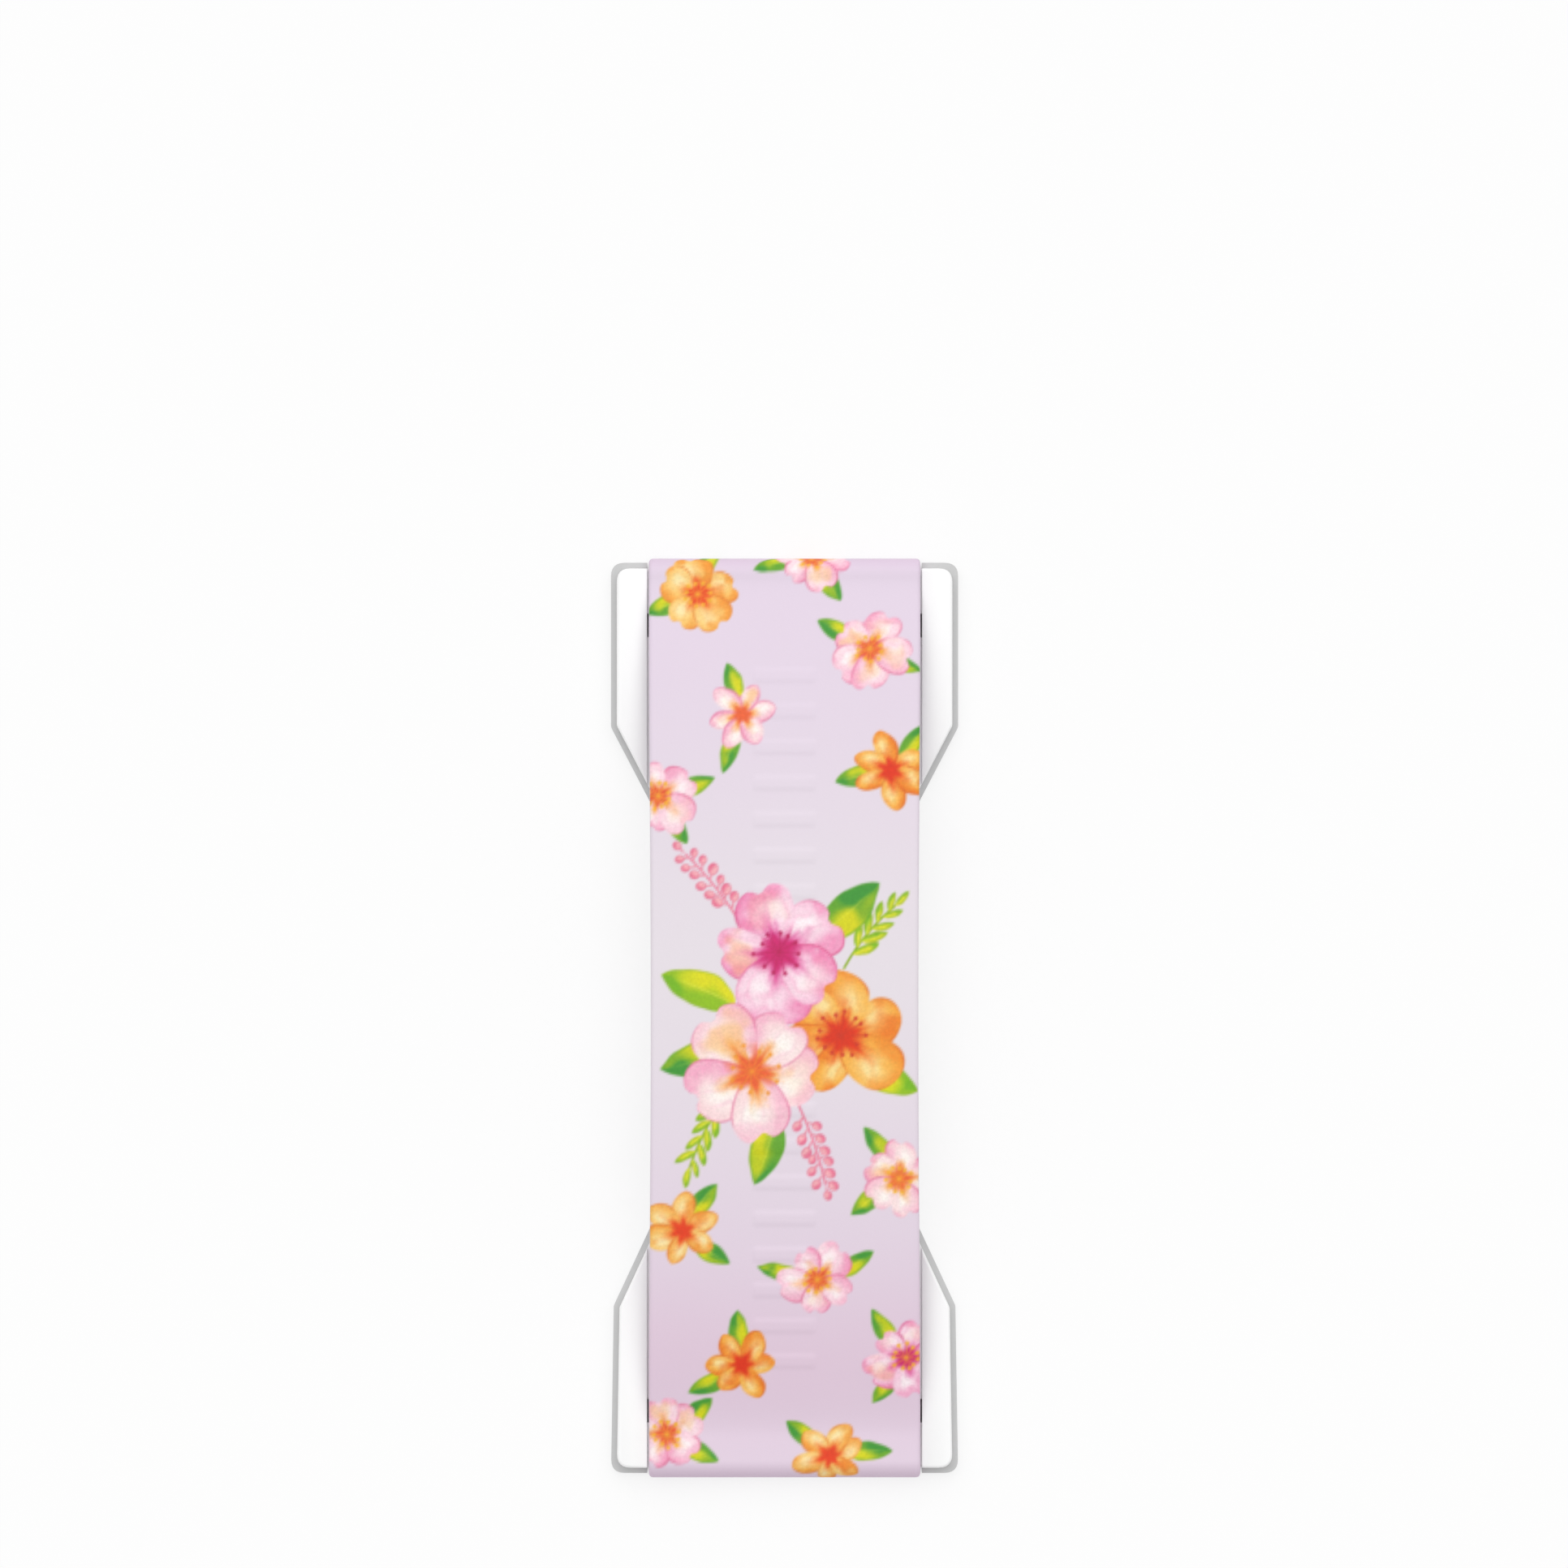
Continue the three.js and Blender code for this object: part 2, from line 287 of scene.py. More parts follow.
def petal(patch, turn, length, width, tint, seed, notch=0.0, bend=0.0, root=0.75, tip=0.42):
    """One petal from the motif's middle outwards, as a loose wash: pale inside, deeper along one side and
    to the tip, now and then a blush of a second colour, faint veins, rays and a deep spot at its root,
    and a thin rim that comes and goes."""
    chance = np.random.default_rng(seed)
    wash, blush = chance.uniform(0.5, 1.05), chance.uniform(-0.7, 0.9)
    lean, blush_at = chance.choice((-1, 1)), chance.uniform(0.5, 0.85)
    u, v = patch.local((0, 0), turn, length, bend)
    mottle = blotches(patch.x, patch.y, 0.16 * length, seed)
    broad = blotches(patch.x, patch.y, 0.34 * length, seed + 2)
    fine = blotches(patch.x, patch.y, 0.05 * length, seed + 1)
    end = u * (1 + notch * bell(v / 0.11))
    half = outline(end, root, tip) * width / 2 / length
    inside = (half - np.abs(v)) * length - np.maximum(end - 1, -np.minimum(u, 0)).clip(0) * length
    inside = inside + 0.03 * length * broad
    side = lean * v / np.maximum(half, 1e-3)
    glow = 1.1 * spot(u, side, (0.6, -0.25), (0.24, 0.5)) + 0.3 * mottle
    tone = tinted(tint["middle"], tint["pale"], glow)
    deep = np.maximum(smooth(0.0, 0.9, side + 0.35 * mottle), 0.8 * smooth(0.68, 1.02, u + 0.22 * mottle))
    tone = tinted(tone, tint["edge"], wash * deep * (1 + 0.25 * fine))
    blushing = smooth(0.15, 0.85, spot(u, side, (blush_at, 0.1), (0.26, 0.7)) + 0.35 * mottle)
    tone = tinted(tone, tint["blush"], blush * blushing)
    veins = bell(np.sin(side * 5.2 + 0.8 * mottle) / 0.32) * smooth(0.2, 0.5, u) * smooth(0.95, 0.6, u)
    tone = tinted(tone, tint["edge"], 0.3 * veins * wash)
    ray = bell(v / (0.03 + 0.11 * np.clip(u, 0, 1))) * smooth(0.68 + 0.16 * mottle, 0.22, u)
    wing = bell((np.abs(v) - 0.21 * u) / 0.045) * smooth(0.56 + 0.12 * fine, 0.22, u)
    tone = tinted(tone, tint["streak"], 0.85 * np.maximum(ray, wing))
    point = 0.13 * bell(v / 0.045)
    tone = tinted(tone, tint["heart"], smooth(0.31 + 0.10 * mottle, 0.09, u - point))
    rim = bell((inside - 0.09) / 0.14) * smooth(-0.7, 0.3, broad + 0.4 * side) * smooth(0.05, 0.35, u)
    tone = tinted(tone, tint["rim"], 0.85 * rim)
    patch.lay(tone, smooth(-FEATHER, FEATHER, inside))


def stamens(patch, reach, colour, turn, petals, seed):
    """A spray of thin threads from the heart, each with a dot on its end."""
    chance = np.random.default_rng(seed + 5)
    for k in range(2 * petals + 1):
        angle = turn + 2 * math.pi * (k + 0.5) / (2 * petals + 1) + chance.uniform(-0.1, 0.1)
        length = reach * chance.uniform(0.26, 0.38)
        u, v = patch.local((0, 0), angle, length, 0.0)
        thread = smooth(0.12, 0.04, np.abs(v) * length) * smooth(-0.05, 0.05, u) * smooth(1.02, 0.95, u)
        dot = smooth(0.30, 0.17, np.hypot(u - 1, v) * length)
        patch.lay(colour, 0.55 * thread)
        patch.lay(colour, 0.9 * dot)


def blossom(patch, petals, reach, tint, turn, seed, plump=0.86, notch=0.12, root=0.75, tip=0.42,
            dots=None):
    """Petals round a heart, each laid over the last one, with a ring of stamens where dots has a colour."""
    chance = np.random.default_rng(seed)
    for k in range(petals):
        length = reach * chance.uniform(0.86, 1.08)
        angle = turn + 2 * math.pi * k / petals + chance.uniform(-0.13, 0.13)
        width = plump * length * chance.uniform(0.86, 1.12)
        bend = chance.uniform(-0.18, 0.18)
        petal(patch, angle, length, width, tint, seed + 10 * k, notch, bend, root, tip)
    if dots is not None:
        stamens(patch, reach, dots, turn, petals, seed)


def leaf(patch, at, turn, length, width, tint, seed, bend=0.12, root=0.7, tip=0.85):
    """A pointed leaf: one half deeper than the other, deeper to the tip, with a pale rib."""
    u, v = patch.local(at, turn, length, bend)
    mottle = blotches(patch.x, patch.y, 0.18 * length + 0.2, seed)
    half = outline(u, root, tip) * width / 2 / length
    inside = (half - np.abs(v)) * length - np.maximum(u - 1, -np.minimum(u, 0)).clip(0) * length
    inside = inside + 0.02 * length * mottle
    side = v / np.maximum(half, 1e-3)
    deep = 0.75 * smooth(-0.35, 0.55, side + 0.35 * mottle) + 0.7 * smooth(0.45, 1.0, u + 0.2 * mottle)
    tone = tinted(tint["light"], tint["dark"], deep)
    rib = bell(v * length / 0.10) * smooth(0.95, 0.5, u) * smooth(-0.02, 0.1, u)
    tone = tinted(tone, tint["rib"], 0.5 * rib)
    rim = bell((inside - 0.08) / 0.13) * smooth(0, 0.3, u)
    tone = tinted(tone, tint["rim"], 0.6 * rim)
    patch.lay(tone, smooth(-FEATHER, FEATHER, inside))


def stem(patch, turn, length, bend, colour, thick):
    """A thin bent line from the motif's middle."""
    u, v = patch.local((0, 0), turn, length, bend)
    cover = smooth(thick, 0.3 * thick, np.abs(v) * length) * smooth(-0.01, 0.02, u) * smooth(1.01, 0.97, u)
    patch.lay(colour, cover)


def stem_point(turn, length, bend, u):
    """The place and heading of a point u along a bent stem that starts at the motif's middle."""
    x, y = u * length, bend * u * u * length
    heading = turn + math.atan(2 * bend * u)
    return (x * math.cos(turn) - y * math.sin(turn), x * math.sin(turn) + y * math.cos(turn)), heading


def berry_sprig(patch, turn, length, bend, tint, seed, pairs=6):
    """A bent stem with a round bud on a short stalk at each side in turn, and one on its end."""
    chance = np.random.default_rng(seed)
    stem(patch, turn, length, bend, tint["dark"], 0.17)
    for k in range(2 * pairs + 1):
        u = 0.3 + 0.7 * k / (2 * pairs)
        at, heading = stem_point(turn, length, bend, u)
        swing = 0 if k == 2 * pairs else (1 if k % 2 else -1) * chance.uniform(0.7, 1.0)
        stalk = chance.uniform(1.1, 1.7) * (1.25 - 0.5 * u)
        bud = (at[0] + stalk * math.cos(heading + swing), at[1] + stalk * math.sin(heading + swing))
        leaf(patch, at, heading + swing, stalk, 0.22, tint, seed + k, bend=0, root=0.3, tip=0.3)
        forward, aside = patch.local(bud, heading + swing, 1.0, 0.0)
        far = np.hypot(forward * 0.85, aside)
        size = chance.uniform(0.42, 0.58)
        ball = tinted(tint["light"], tint["dark"], smooth(-0.3, 0.45, aside + 0.5 * forward))
        ball = tinted(ball, tint["rim"], 0.7 * bell((far - size + 0.06) / 0.09))
        patch.lay(ball, smooth(size + 0.08, size - 0.08, far))


def leafy_twig(patch, turn, length, bend, tint, seed, pairs=4):
    """A bent stem with a small leaf at each side in turn, and one on its end."""
    chance = np.random.default_rng(seed)
    stem(patch, turn, length, bend, tint["rim"], 0.17)
    for k in range(2 * pairs + 1):
        u = 0.22 + 0.76 * k / (2 * pairs)
        at, heading = stem_point(turn, length, bend, u)
        swing = 0 if k == 2 * pairs else (1 if k % 2 else -1) * chance.uniform(0.55, 0.8)
        size = chance.uniform(2.3, 3.0) * (1.2 - 0.4 * u)
        leaf(patch, at, heading + swing, size, 0.34 * size, tint, seed + k, bend=0.1 * (-1) ** k, tip=0.7)


SMALL_LEAF_FROM = 1.6
SMALL_LEAF_LENGTH = (4.4, 5.4)
SMALL_LEAF_WIDTH = (1.9, 2.3)

# Small blossoms: across, along, kind, reach, turn in degrees, tint, then the leaves' turns in degrees
SMALL_BLOSSOMS = [
    (-9.6, 47.2, "round", 4.2, 20, ORANGE, (75, 200)),
    (9.4, 41.0, "round", 4.5, 65, PINK, (150, 330)),
    (-4.6, 33.6, "slim", 4.2, 10, PEACH, (105, 250)),
    (-13.9, 24.6, "round", 4.4, 40, PINK, (15, 300)),
    (11.6, 27.4, "slim", 4.4, 33, AMBER, (50, 190)),
    (12.6, -17.6, "round", 4.3, 5, PEACH, (120, 215)),
    (-11.2, -23.4, "slim", 4.4, 25, ORANGE, (60, 320)),
    (3.6, -28.8, "round", 4.2, 50, PINK, (20, 170)),
    (-4.8, -38.4, "slim", 4.2, 0, AMBER, (95, 215)),
    (13.4, -37.6, "round", 4.4, 70, ROSE, (130, 240)),
    (-13.0, -46.4, "round", 4.4, 30, PINK, (35, 330)),
    (5.0, -48.8, "slim", 4.2, 15, ORANGE, (140, 10)),
    (3.0, 51.6, "round", 4.2, 10, PINK, (190, 300)),
]


def paint_small_blossoms(sheet):
    """Single blossoms scattered over the face, each on two leaves."""
    for n, (x, y, kind, reach, degrees, tint, leaves) in enumerate(SMALL_BLOSSOMS):
        seed = 100 + 31 * n
        turn = math.radians(degrees)
        patch = sheet.patch(x, y, 12)
        chance = np.random.default_rng(seed)
        for k, angle in enumerate(leaves):
            out = math.radians(angle)
            root = (SMALL_LEAF_FROM * math.cos(out), SMALL_LEAF_FROM * math.sin(out))
            length, width = chance.uniform(*SMALL_LEAF_LENGTH), chance.uniform(*SMALL_LEAF_WIDTH)
            leaf(patch, root, out, length, width, GREEN, seed + k, bend=chance.uniform(-0.16, 0.16))
        if kind == "round":
            blossom(patch, 5, reach, tint, turn, seed, plump=0.92, notch=0.13, dots=GOLD_DOTS)
        else:
            blossom(patch, 6, reach, tint, turn, seed, plump=0.62, notch=0.0, root=0.8, tip=0.6)


def paint_bouquet(sheet):
    """Three large blossoms on leaves, twigs and sprigs of buds, in the middle of the face."""
    berry_sprig(sheet.patch(-4.0, 9.0, 16), math.radians(118), 11.5, 0.16, CORAL, 11)
    berry_sprig(sheet.patch(0.6, -7.6, 16), math.radians(-62), 11.4, -0.14, CORAL, 17, pairs=6)
    leafy_twig(sheet.patch(6.5, 5.5, 14), math.radians(62), 9.0, -0.20, LIME, 23)
    leafy_twig(sheet.patch(-6.0, -8.0, 14), math.radians(232), 9.5, 0.18, LIME, 29)
    middle = sheet.patch(0, 0, 20)
    leaf(middle, (3.5, 9.0), math.radians(35), 9.0, 4.2, GREEN, 41, bend=0.10)
    leaf(middle, (-5.0, -3.0), math.radians(203), 9.0, 4.2, GREEN, 43, bend=-0.12)
    leaf(middle, (-5.5, 1.6), math.radians(152), 8.6, 4.1, LIME, 47, bend=0.10)
    leaf(middle, (7.0, -4.0), math.radians(-34), 8.6, 3.9, LIME, 53, bend=0.12)
    leaf(middle, (-1.0, -11.0), math.radians(258), 7.6, 3.6, GREEN, 59, bend=-0.10)
    blossom(sheet.patch(6.2, -1.8, 12), 6, 7.4, AMBER, math.radians(12), 61, plump=0.72, notch=0.0,
            root=0.8, tip=0.5, dots=RED_DOTS)
    blossom(sheet.patch(-0.6, 7.4, 12), 5, 7.6, ROSE, math.radians(40), 67, plump=0.98, dots=WINE_DOTS)
    blossom(sheet.patch(-3.6, -5.8, 12), 5, 8.0, PEACH, math.radians(-8), 71, plump=0.90, notch=0.14,
            dots=HONEY_DOTS)


# The strap: one band swept along its side view
def arc(centre, radius, first, last, steps):
    """Points on a circle after its first one, which the stretch before it already has."""
    angle = np.radians(first + (last - first) * np.arange(1, steps + 1) / steps)
    return np.stack([centre[0] + radius * np.cos(angle), centre[1] + radius * np.sin(angle)], axis=1)


def straight(start, end, steps):
    """Even points on a straight line after its first one."""
    share = np.arange(1, steps + 1)[:, None] / steps
    return np.asarray(start) + (np.asarray(end) - np.asarray(start)) * share


def arch_faces(foot, foot_handle):
    """The inner and outer face of half an arch, at even steps along the outer one: a cubic Bezier curve
    from the apex to the foot, and the same curve moved out along its normal by the thickness."""
    top = rest_level + arch_rise
    apex, after_apex = np.array([(0, top), (APEX_HANDLE, top)])
    before_foot, at_foot = np.array([(foot - foot_handle, rest_level), (foot, rest_level)])

    def faces(t):
        """Matching points of both faces, at shares t of the curve's own parameter."""
        t = t[:, None]
        s = 1 - t
        point = s**3 * apex + 3 * s**2 * t * after_apex + 3 * s * t**2 * before_foot + t**3 * at_foot
        heading = s**2 * (after_apex - apex) + 2 * s * t * (before_foot - after_apex)
        heading = heading + t**2 * (at_foot - before_foot)
        heading = heading / np.linalg.norm(heading, axis=1, keepdims=True)
        normal = np.stack([-heading[:, 1], heading[:, 0]], axis=1)
        return point, point + normal * THICKNESS

    dense = np.linspace(0, 1, CURVE_SAMPLES)
    length = np.concatenate([[0], np.cumsum(np.linalg.norm(np.diff(faces(dense)[1], axis=0), axis=1))])
    count = round(length[-1] / ALONG_STEP)
    return faces(np.interp(np.linspace(0, length[-1], count + 1), length, dense))


def half_side_view(foot_from_end, foot_handle):
    """Half of the strap's side view as matching points of its inner and outer face, from the apex out:
    the arch, the rest on the bar, half circles round the bar's nose, the flap under the bar, a rounded
    corner, the hook and its rounded tip. Also how far the band's sides come in, at the tip alone."""
    foot = plate_end - foot_from_end
    inner, outer = arch_faces(foot, foot_handle)
    on_bar = max(1, round((nose[0] - foot) / ALONG_STEP))
    above = rest_level + THICKNESS
    below = nose[1] - wrap_radius
    hook_near = plate_end - BAR_WIDTH - clearance
    hook_far = hook_near - THICKNESS - HOOK_BEAD
    hook_top = tape_high[2] + BAR_THICKNESS - HOOK_DROP
    fillet = (hook_near + INNER_CORNER, below + INNER_CORNER)
    heel = (hook_far + THICKNESS, below)
    tip_level = hook_top - HOOK_ROUND
    inner_stretches = [
        inner,
        straight((foot, rest_level), (nose[0], rest_level), on_bar),
        arc(nose, wrap_radius, 90, -90, WRAP_STEPS),
        straight((nose[0], below), (fillet[0], below), FLAP_STEPS),
        arc(fillet, INNER_CORNER, -90, -180, CORNER_STEPS),
        straight((hook_near, fillet[1]), (hook_near, tip_level), HOOK_STEPS),
        arc((hook_near - HOOK_ROUND, tip_level), HOOK_ROUND, 0, 90, TIP_STEPS),
    ]
    outer_stretches = [
        outer,
        straight((foot, above), (nose[0], above), on_bar),
        arc(nose, wrap_radius + THICKNESS, 90, -90, WRAP_STEPS),
        straight((nose[0], below - THICKNESS), (heel[0], below - THICKNESS), FLAP_STEPS),
        arc(heel, THICKNESS, -90, -180, CORNER_STEPS),
        straight((hook_far, below), (hook_far, tip_level), HOOK_STEPS),
        arc((hook_far + HOOK_ROUND, tip_level), HOOK_ROUND, 180, 90, TIP_STEPS),
    ]
    inner, outer = np.concatenate(inner_stretches), np.concatenate(outer_stretches)
    taken_in = np.zeros(len(inner))
    taken_in[-TIP_STEPS:] = HOOK_ROUND * (1 - np.cos(np.linspace(0, math.pi / 2, TIP_STEPS + 1)[1:]))
    return inner, outer, taken_in


def side_view():
    """The strap's whole side view, from the bottom hook's tip over the arch to the top hook's tip."""
    inner_top, outer_top, in_top = half_side_view(TOP_FOOT, TOP_FOOT_HANDLE)
    inner_bottom, outer_bottom, in_bottom = half_side_view(BOTTOM_FOOT, BOTTOM_FOOT_HANDLE)
    mirror = np.array([-1, 1])
    inner = np.concatenate([(inner_bottom * mirror)[:0:-1], inner_top])
    outer = np.concatenate([(outer_bottom * mirror)[:0:-1], outer_top])
    taken_in = np.concatenate([in_bottom[:0:-1], in_top])
    apex = len(inner_bottom) - 1
    return inner, outer, taken_in, apex


def section_loop():
    """The band's cross-section as a loop, from the left of its outer face: each point's share of the flat
    half width, how far the rounded edge takes it out and down in shares of the edge's radius, and whether
    it is measured from the inner face."""
    steps = np.radians(90 * np.arange(1, EDGE_STEPS + 1) / EDGE_STEPS)
    out, sink = np.sin(steps), 1 - np.cos(steps)
    zeros, ones = np.zeros, np.ones
    flat = [np.linspace(-1, 1, FACE_COLUMNS), ones(2 * EDGE_STEPS),
            np.linspace(1, -1, BACK_COLUMNS), -ones(2 * EDGE_STEPS)]
    bulge = [zeros(FACE_COLUMNS), out, out[::-1], zeros(BACK_COLUMNS), -out, -out[::-1]]
    depth = [zeros(FACE_COLUMNS), sink, sink[::-1], zeros(BACK_COLUMNS), sink, sink[::-1]]
    back = [zeros(FACE_COLUMNS), zeros(EDGE_STEPS), ones(EDGE_STEPS), ones(BACK_COLUMNS),
            ones(EDGE_STEPS), zeros(EDGE_STEPS)]
    return tuple(np.concatenate(part) for part in (flat, bulge, depth, back))


def rib_height(x, along):
    """Height of the shallow ribs: soft-edged bars across the middle, evenly spaced in two groups."""
    number = np.clip(np.round((np.abs(along) - RIB_FIRST) / RIB_PITCH), 0, RIB_COUNT - 1)
    from_rib = np.abs(np.abs(along) - RIB_FIRST - number * RIB_PITCH)
    across = smooth(RIB_HALF_WIDTH + RIB_SHOULDER, RIB_HALF_WIDTH - RIB_SHOULDER, np.abs(x))
    lengthwise = smooth(RIB_HALF_LENGTH + RIB_SHOULDER, RIB_HALF_LENGTH - RIB_SHOULDER, from_rib)
    return RIB_HEIGHT * across * lengthwise


def grid_faces(rows, columns):
    """Quads of a tube of loops, the last column joined to the first, and an end face on each open end."""
    row, column = np.meshgrid(np.arange(rows - 1), np.arange(columns), indexing="ij")
    after = (column + 1) % columns
    quads = np.stack([row * columns + column, row * columns + after,
                      (row + 1) * columns + after, (row + 1) * columns + column], axis=-1).reshape(-1, 4)
    first = list(range(columns))[::-1]
    last = list(range((rows - 1) * columns, rows * columns))
    return quads, [first, last]


# The strap's flat map, in shares of its square
MAP_MARGIN = 0.01
MAP_TUBE_HEIGHT = 0.95
MAP_END_LEVEL = 0.985
MAP_END_HALF = 0.22
MAP_END_CENTRES = (0.25, 0.75)


def lay_out_for_baking(mesh, along, places):
    """The piece's own flat map: the tube slit along the left of its face and spread over the square, by
    length both ways, with the two end faces in a strip above it."""
    rows, columns = places.shape[:2]
    around = np.linalg.norm(np.diff(places, axis=1, append=places[:, :1]), axis=2)[rows // 2]
    u = np.concatenate([[0], np.cumsum(around)]) / around.sum() * (1 - 2 * MAP_MARGIN) + MAP_MARGIN
    v = (along - along[0]) / (along[-1] - along[0]) * MAP_TUBE_HEIGHT + MAP_MARGIN
    row, column = np.meshgrid(np.arange(rows - 1), np.arange(columns), indexing="ij")
    corner_u = np.stack([u[column], u[column + 1], u[column + 1], u[column]], axis=-1)
    corner_v = np.stack([v[row], v[row], v[row + 1], v[row + 1]], axis=-1)
    tube = np.stack([corner_u, corner_v], axis=-1).reshape(-1, 2)
    ends = []
    for centre, loop in zip(MAP_END_CENTRES, (places[0, ::-1], places[-1])):
        spread = loop[:, :2] - loop[:, :2].mean(axis=0)
        ends.append(spread / half_width * MAP_END_HALF + (centre, MAP_END_LEVEL))
    layer = mesh.uv_layers.new(name="OFBake")
    layer.data.foreach_set("uv", np.concatenate([tube, *ends]).astype(np.float32).ravel())


def new_piece(name, mesh, replaced):
    """An object for a finished mesh, which rides on the one body and stands for a node of the frame."""
    piece = bpy.data.objects.new(name, mesh)
    bpy.context.scene.collection.objects.link(piece)
    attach(piece, "root")
    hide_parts(replaced)
    return piece


def printed_strap(look):
    """The band: its rounded cross-section carried along the side view, a little narrower at mid-length,
    with the ribs raised on its outer face and the print painted on it."""
    inner, outer, taken_in, apex = side_view()
    flat, bulge, sink, back = section_loop()
    steps = np.linalg.norm(np.diff(outer, axis=0), axis=1)
    along = np.concatenate([[0], np.cumsum(steps)])
    along = along - along[apex]
    through = inner - outer
    thickness = np.linalg.norm(through, axis=1)
    edge = np.minimum(EDGE_ROUND, 0.45 * thickness)[:, None]
    waist = 1 - WAISTING * np.clip(np.cos(along / plate_end * math.pi / 2), 0, 1) ** 2
    half = (half_width * waist - taken_in)[:, None]
    x = flat * (half - edge) + bulge * edge
    depth = np.where(back > 0, thickness[:, None] - sink * edge, sink * edge)
    rise = np.where((back > 0) | (sink > 0), 0, rib_height(x, along[:, None]))
    down = through / thickness[:, None]
    yz = outer[:, None, :] + down[:, None, :] * (depth - rise)[..., None]
    places = np.concatenate([x[..., None], yz], axis=2)

    quads, ends = grid_faces(*x.shape)
    mesh = bpy.data.meshes.new("printed_strap")
    mesh.from_pydata((places * MM).reshape(-1, 3), [], quads.tolist() + ends)
    mesh.shade_smooth()
    lay_out_for_baking(mesh, along, places)

    sheet = Print(half_width + PRINT_MARGIN, along[-1] + PRINT_MARGIN)
    paint_bouquet(sheet)
    paint_small_blossoms(sheet)
    printed = sheet.sampled(x, np.broadcast_to(along[:, None], x.shape))
    plain = np.append(ground_colour(along), np.zeros((len(along), 1)), axis=1)[:, None, :]
    fade = smooth(PRINT_GONE_DEPTH, PRINT_FULL_DEPTH, depth)[..., None]
    colour = plain + (printed - plain) * fade
    colour[..., :3] = linear(colour[..., :3])
    layer = mesh.color_attributes.new("print", "FLOAT_COLOR", "POINT")
    layer.data.foreach_set("color", colour.astype(np.float32).ravel())
    mesh.materials.append(look)
    return new_piece("printed_strap", mesh, "strap")


# Finishes: sizes of grains, cells and clouds, and depths of relief, in millimetres
SILICONE_GRAIN = 0.16
SILICONE_DIMPLE = 0.5
SILICONE_CLOUD = 6.0
SILICONE_RELIEF = 0.008
INK_SPECKLE = 0.35
PLASTIC_GRAIN = 0.22
PLASTIC_CLOUD = 9.0
PLASTIC_RELIEF = 0.006
FOAM_CELL = 0.28
FOAM_PATCH = 2.5
FOAM_RELIEF = 0.05

PLASTIC_DULL = (0.955, 0.955, 0.95, 1)
PLASTIC_BRIGHT = (0.98, 0.98, 0.983, 1)
FOAM_WALL = (0.60, 0.60, 0.60, 1)
# Painted shade: the darker colour of the foam's cell hollows
FOAM_HOLLOW_SHADE = (0.48, 0.48, 0.485, 1)
ADHESIVE = (0.56, 0.56, 0.56, 1)

# Where the film of adhesive starts and is whole, in shares of the way from the tape's middle to a face
FILM_STARTS = 0.86
FILM_WHOLE = 0.92


class Output:
    """One output of a shader node; arithmetic on it adds Math nodes."""

    def __init__(self, nodes, socket):
        self.nodes = nodes
        self.socket = socket

    def math(self, operation, *values):
        """A Math node fed with these values in their order."""
        return self.nodes.node("ShaderNodeMath", {"operation": operation}, dict(enumerate(values)))

    def __add__(self, other):
        return self.math("ADD", self, other)

    __radd__ = __add__

    def __mul__(self, other):
        return self.math("MULTIPLY", self, other)

    __rmul__ = __mul__

    def __sub__(self, other):
        return self.math("SUBTRACT", self, other)

    def __rsub__(self, other):
        return self.math("SUBTRACT", other, self)

    def size(self):
        """The number without its sign."""
        return self.math("ABSOLUTE", self)

    def largest(self, other):
        """The larger of two numbers."""
        return self.math("MAXIMUM", self, other)

    def ramp(self, low, high):
        """0 below low and 1 above high, with an S-curve between."""
        return self.nodes.node("ShaderNodeMapRange", {"interpolation_type": "SMOOTHSTEP"},
                               {"Value": self, "From Min": low, "From Max": high})


class Nodes:
    """A node tree being filled."""

    def __init__(self, tree):
        self.tree = tree
        tree.nodes.clear()

    def node(self, kind, settings=None, inputs=None, output=0):
        """Any node: its settings first, then the values or links of its sockets. Gives one output."""
        made = self.tree.nodes.new(kind)
        for name, value in (settings or {}).items():
            setattr(made, name, value)
        for name, value in (inputs or {}).items():
            if isinstance(value, Output):
                self.tree.links.new(value.socket, made.inputs[name])
            else:
                made.inputs[name].default_value = value
        return Output(self, made.outputs[output])

    def place(self):
        """Object coordinates, in metres."""
        return self.node("ShaderNodeTexCoord", output="Object")

    def level(self, axis):
        """The Object coordinate along one axis, in metres."""
        return self.node("ShaderNodeSeparateXYZ", inputs={"Vector": self.place()}, output=axis)

    def noise(self, size, detail=2.0, roughness=0.5):
        """Noise from 0 to 1 with patches of a size in millimetres."""
        return self.node("ShaderNodeTexNoise", inputs={
            "Vector": self.place(), "Scale": 1 / (size * MM), "Detail": detail, "Roughness": roughness})

    def brightened(self, colour, factor):
        """A colour times a number."""
        return self.node("ShaderNodeVectorMath", {"operation": "SCALE"}, {0: colour, "Scale": factor})

    def mixed(self, factor, first, second):
        """One colour turning into another as the factor goes from 0 to 1."""
        colours = {0: factor, 6: first, 7: second}
        return self.node("ShaderNodeMix", {"data_type": "RGBA"}, colours, output=2)

    def bump(self, height, depth):
        """Normals of a surface raised by a height from 0 to 1, in all a depth in millimetres."""
        return self.node("ShaderNodeBump", inputs={"Height": height, "Distance": depth * MM})

    def lit(self):
        """1 for the rays that see the background itself: from the camera, or by gloss or glass."""
        rays = [self.node("ShaderNodeLightPath", output=f"Is {kind} Ray")
                for kind in ("Camera", "Glossy", "Transmission")]
        return rays[0].largest(rays[1]).largest(rays[2])

    def end(self, kind, shader):
        """Connects a shader to the tree's output node."""
        self.tree.links.new(shader.socket, self.tree.nodes.new(kind).inputs["Surface"])


def material(name):
    """A new material and its empty node tree."""
    made = bpy.data.materials.new(name)
    made.use_nodes = True
    return made, Nodes(made.node_tree)


